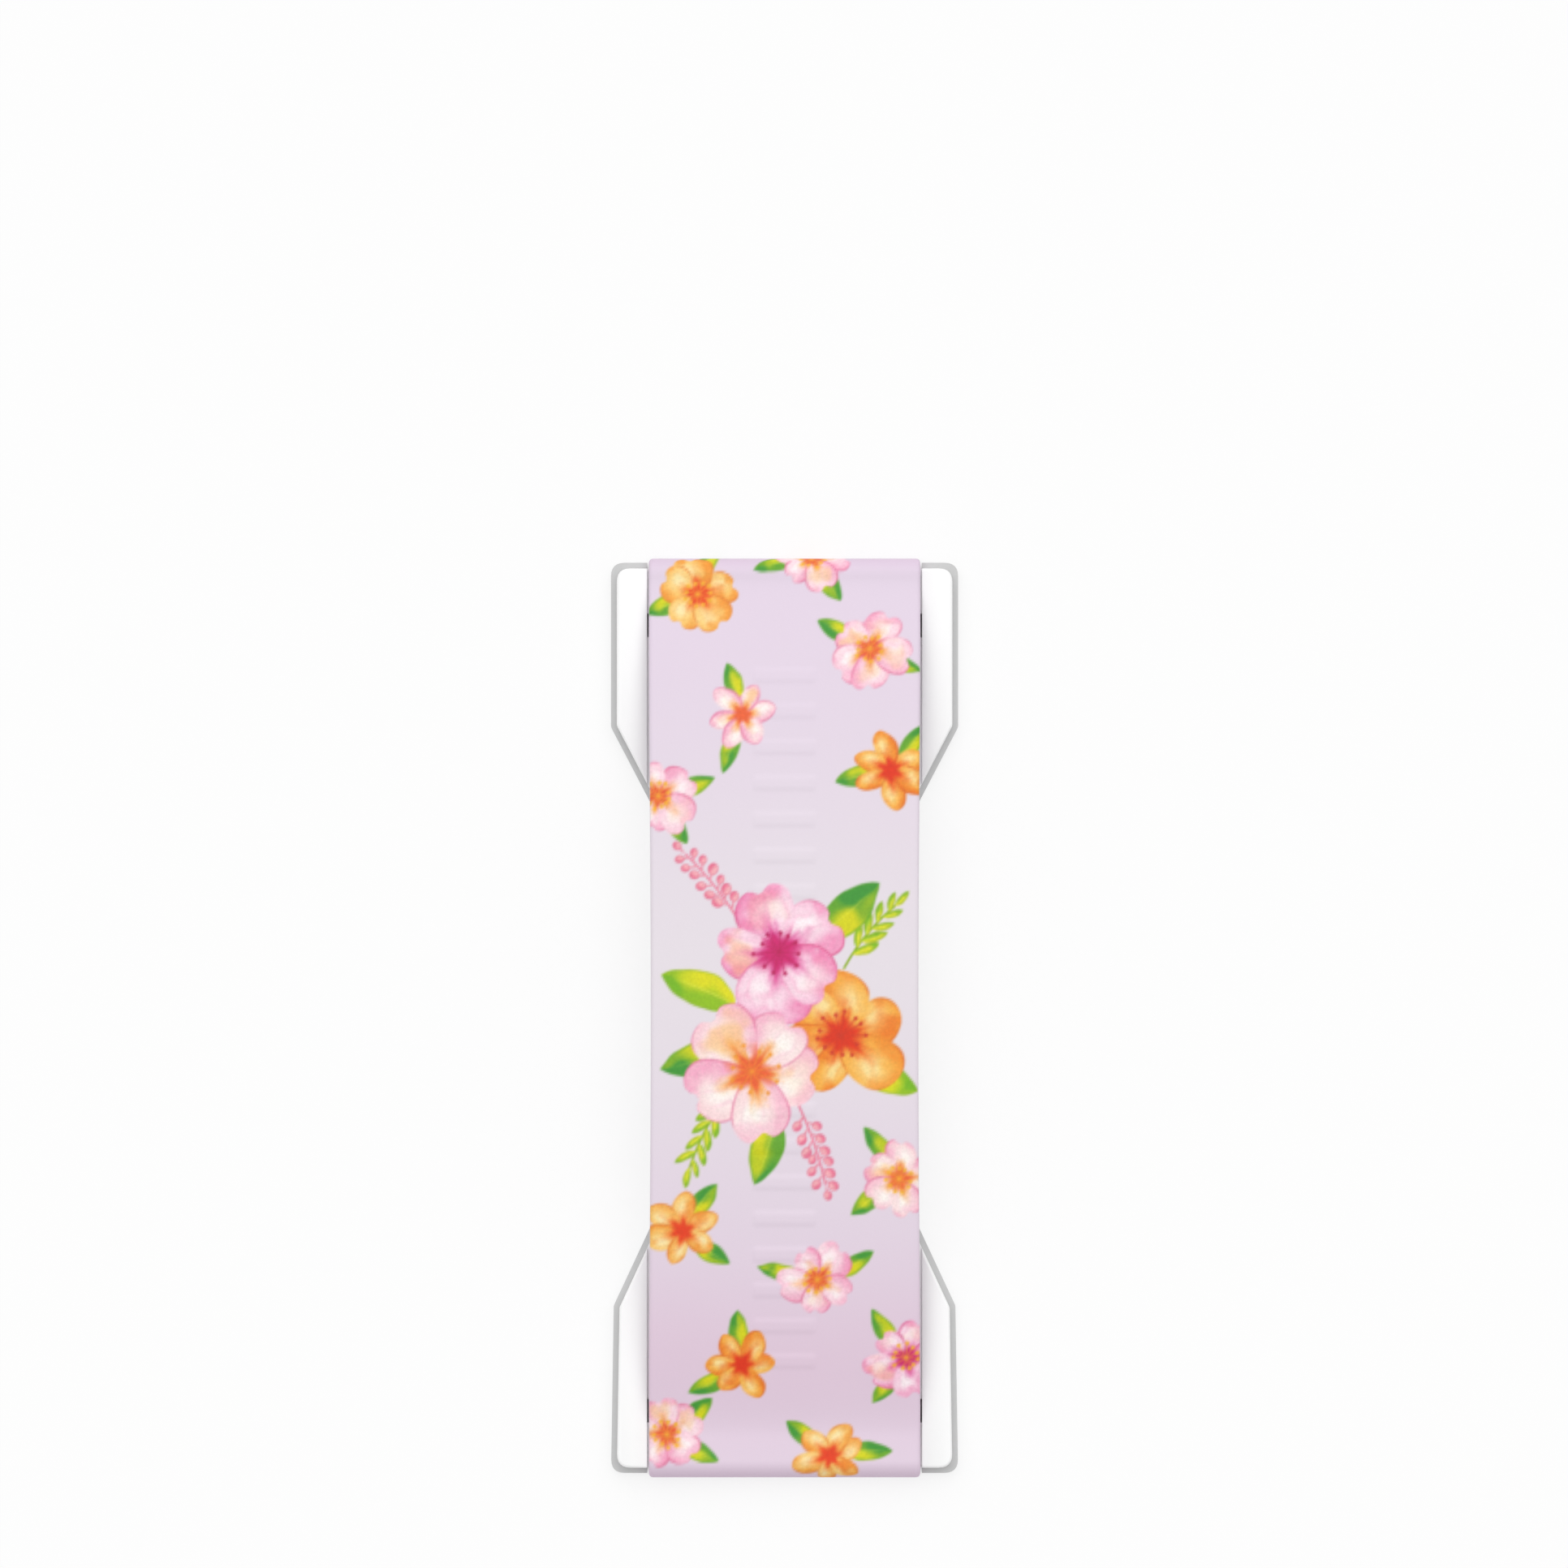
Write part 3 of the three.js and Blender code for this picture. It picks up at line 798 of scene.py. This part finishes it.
def silicone_look():
    """Soft satin silicone: the print with a fine grain, speckled and a little duller where it has ink."""
    made, nodes = material("printed_silicone")
    ink_colour = nodes.node("ShaderNodeAttribute", {"attribute_name": "print"}, output="Color")
    ink = nodes.node("ShaderNodeAttribute", {"attribute_name": "print"}, output="Alpha")
    grain = nodes.noise(SILICONE_GRAIN, detail=3.0, roughness=0.6)
    cloud = nodes.noise(SILICONE_CLOUD)
    speckle = nodes.noise(INK_SPECKLE, detail=1.0)
    tone = 0.973 + 0.03 * grain + 0.012 * cloud + ink * (0.24 * speckle - 0.12)
    height = 0.6 * grain + 0.4 * nodes.noise(SILICONE_DIMPLE) + 0.5 * ink
    shader = nodes.node("ShaderNodeBsdfPrincipled", inputs={
        "Base Color": nodes.brightened(ink_colour, tone),
        "Roughness": 0.44 + 0.10 * grain + 0.05 * ink,
        "IOR": 1.41,
        "Normal": nodes.bump(height, SILICONE_RELIEF),
    })
    nodes.end("ShaderNodeOutputMaterial", shader)
    return made


def plastic_look():
    """White moulded plastic: a fine spark-eroded grain and very slight clouds in the white."""
    made, nodes = material("white_plastic")
    grain = nodes.noise(PLASTIC_GRAIN, detail=3.0, roughness=0.55)
    cloud = nodes.noise(PLASTIC_CLOUD)
    colour = nodes.mixed(cloud, PLASTIC_DULL, PLASTIC_BRIGHT)
    shader = nodes.node("ShaderNodeBsdfPrincipled", inputs={
        "Base Color": colour,
        "Roughness": 0.30 + 0.16 * grain,
        "IOR": 1.5,
        "Normal": nodes.bump(grain, PLASTIC_RELIEF),
    })
    nodes.end("ShaderNodeOutputMaterial", shader)
    return made


def foam_look():
    """Grey closed-cell foam with small cells, their hollows coloured darker as painted shade and the tone
    varied in random patches, and a paler film of adhesive on each face.
    """
    made, nodes = material("grey_foam_tape")
    cells = nodes.node("ShaderNodeTexVoronoi", {"feature": "SMOOTH_F1"},
                       {"Vector": nodes.place(), "Scale": 1 / (FOAM_CELL * MM), "Smoothness": 0.4})
    patches = nodes.noise(FOAM_PATCH)
    middle = tape_high[2] * MM / 2
    film = (nodes.level("Z") - middle).size().ramp(FILM_STARTS * middle, FILM_WHOLE * middle)
    hollow = cells.ramp(0.55, 0.15)
    # painted shade: the cell hollows take the darker hollow colour; the patches vary the tone at random
    foam = nodes.mixed(0.55 * hollow + 0.3 * patches, FOAM_WALL, FOAM_HOLLOW_SHADE)
    shader = nodes.node("ShaderNodeBsdfPrincipled", inputs={
        "Base Color": nodes.mixed(film, foam, ADHESIVE),
        "Roughness": 0.85 - 0.30 * film,
        "Normal": nodes.bump((1 - film) * (1 - hollow), FOAM_RELIEF),
    })
    nodes.end("ShaderNodeOutputMaterial", shader)
    return made


# The plate: lengths in millimetres, and in degrees the bends that count as flat and as an edge
MERGED_WITHIN = 0.0005
BROKEN_EDGE = 0.1
FLAT_UNDER = 0.5
EDGE_OVER = 35


def moulded_plate(look):
    """The base plate: a copy of its node with the loose triangles merged, its flat faces made whole and
    its edges slightly broken."""
    work = bmesh.new()
    work.from_mesh(frame["nodes"]["base_plate"].data)
    bmesh.ops.remove_doubles(work, verts=work.verts, dist=MERGED_WITHIN * MM)
    flat_under = math.radians(FLAT_UNDER)
    bmesh.ops.dissolve_limit(work, angle_limit=flat_under, verts=work.verts, edges=work.edges)
    mesh = bpy.data.meshes.new("moulded_plate")
    work.to_mesh(mesh)
    work.free()
    mesh.shade_smooth()
    mesh.materials.clear()
    mesh.materials.append(look)
    piece = new_piece("moulded_plate", mesh, "base_plate")
    bevel = piece.modifiers.new("broken_edges", "BEVEL")
    bevel.width = BROKEN_EDGE * MM
    bevel.segments = 2
    bevel.limit_method = "ANGLE"
    bevel.angle_limit = math.radians(EDGE_OVER)
    bevel.harden_normals = True
    return piece


def foam_tape(look):
    """The tape's node is right as it is, so only its finish changes."""
    frame["nodes"]["adhesive_tape"].material_slots[0].material = look


# Studio
FLOOR_SIZE = 3.0
FLOOR_BELOW = 0.05
FLOOR_GLOW = 0.75
FLOOR_COVERED = 2.0
WIDER_FROM = 34.0
WIDER_TO = 38.0
SKY = 0.55
SUN = 1.57
SUN_ELEVATION = 62
SUN_ANGLE = 80


def floor():
    """A pale floor just under the tape, which reads white and keeps a faint shadow. It doesn't glow where
    the strap covers it, or close beside that near its ends, so that it stays dark behind the slots."""
    made, nodes = material("pale_floor")
    diffuse = nodes.node("ShaderNodeBsdfDiffuse", inputs={"Color": (0.95, 0.95, 0.95, 1)})
    glow = nodes.node("ShaderNodeEmission", inputs={"Color": (1, 1, 1, 1), "Strength": 1.0})
    across, along = nodes.level("X").size(), nodes.level("Y").size()
    wider = FLOOR_COVERED * MM * along.ramp(WIDER_FROM * MM, WIDER_TO * MM)
    beside = (across - wider).ramp((half_width - FLOOR_COVERED) * MM, half_width * MM)
    beyond = along.ramp((strap_high[1] - FLOOR_COVERED) * MM, strap_high[1] * MM)
    factor = nodes.lit() * beside.largest(beyond) * FLOOR_GLOW
    shader = nodes.node("ShaderNodeMixShader", inputs={0: factor, 1: diffuse, 2: glow})
    nodes.end("ShaderNodeOutputMaterial", shader)
    side, level = FLOOR_SIZE / 2, -FLOOR_BELOW * MM
    corners = [(-side, -side, level), (side, -side, level), (side, side, level), (-side, side, level)]
    mesh = bpy.data.meshes.new("floor")
    mesh.from_pydata(corners, [], [(0, 1, 2, 3)])
    mesh.materials.append(made)
    piece = bpy.data.objects.new("floor", mesh)
    bpy.context.scene.collection.objects.link(piece)


def world():
    """White wherever it's seen, and a plain soft light from all round elsewhere."""
    made = bpy.data.worlds.new("studio")
    made.use_nodes = True
    bpy.context.scene.world = made
    nodes = Nodes(made.node_tree)
    light = nodes.node("ShaderNodeBackground", inputs={"Color": (1, 1, 1, 1), "Strength": SKY})
    seen = nodes.node("ShaderNodeBackground", inputs={"Color": (1, 1, 1, 1), "Strength": 1.0})
    shader = nodes.node("ShaderNodeMixShader", inputs={0: nodes.lit(), 1: light, 2: seen})
    nodes.end("ShaderNodeOutputWorld", shader)


def soft_lamp():
    """One very broad lamp over the strap's top end."""
    lamp = bpy.data.lights.new("soft_lamp", "SUN")
    lamp.energy = SUN
    lamp.angle = math.radians(SUN_ANGLE)
    piece = bpy.data.objects.new("soft_lamp", lamp)
    piece.rotation_euler = (math.radians(SUN_ELEVATION - 90), 0, 0)
    bpy.context.scene.collection.objects.link(piece)


def camera():
    """Straight above, far away through a long lens, with the origin at its pixel of the photograph."""
    view = bpy.data.cameras.new("camera")
    view.lens = LENS
    view.sensor_width = SENSOR
    piece = bpy.data.objects.new("camera", view)
    middle = PHOTO_SIDE / 2
    across = (middle - ORIGIN_PIXEL[0]) / PIXELS_PER_MM
    along = (ORIGIN_PIXEL[1] - middle) / PIXELS_PER_MM
    frame_width = PHOTO_SIDE / PIXELS_PER_MM
    piece.location = (across * MM, along * MM, (FOCUS_HEIGHT + frame_width * LENS / SENSOR) * MM)
    bpy.context.scene.collection.objects.link(piece)
    bpy.context.scene.camera = piece


bpy.context.scene.view_settings.view_transform = "Standard"
printed_strap(silicone_look())
moulded_plate(plastic_look())
foam_tape(foam_look())
floor()
world()
soft_lamp()
camera()
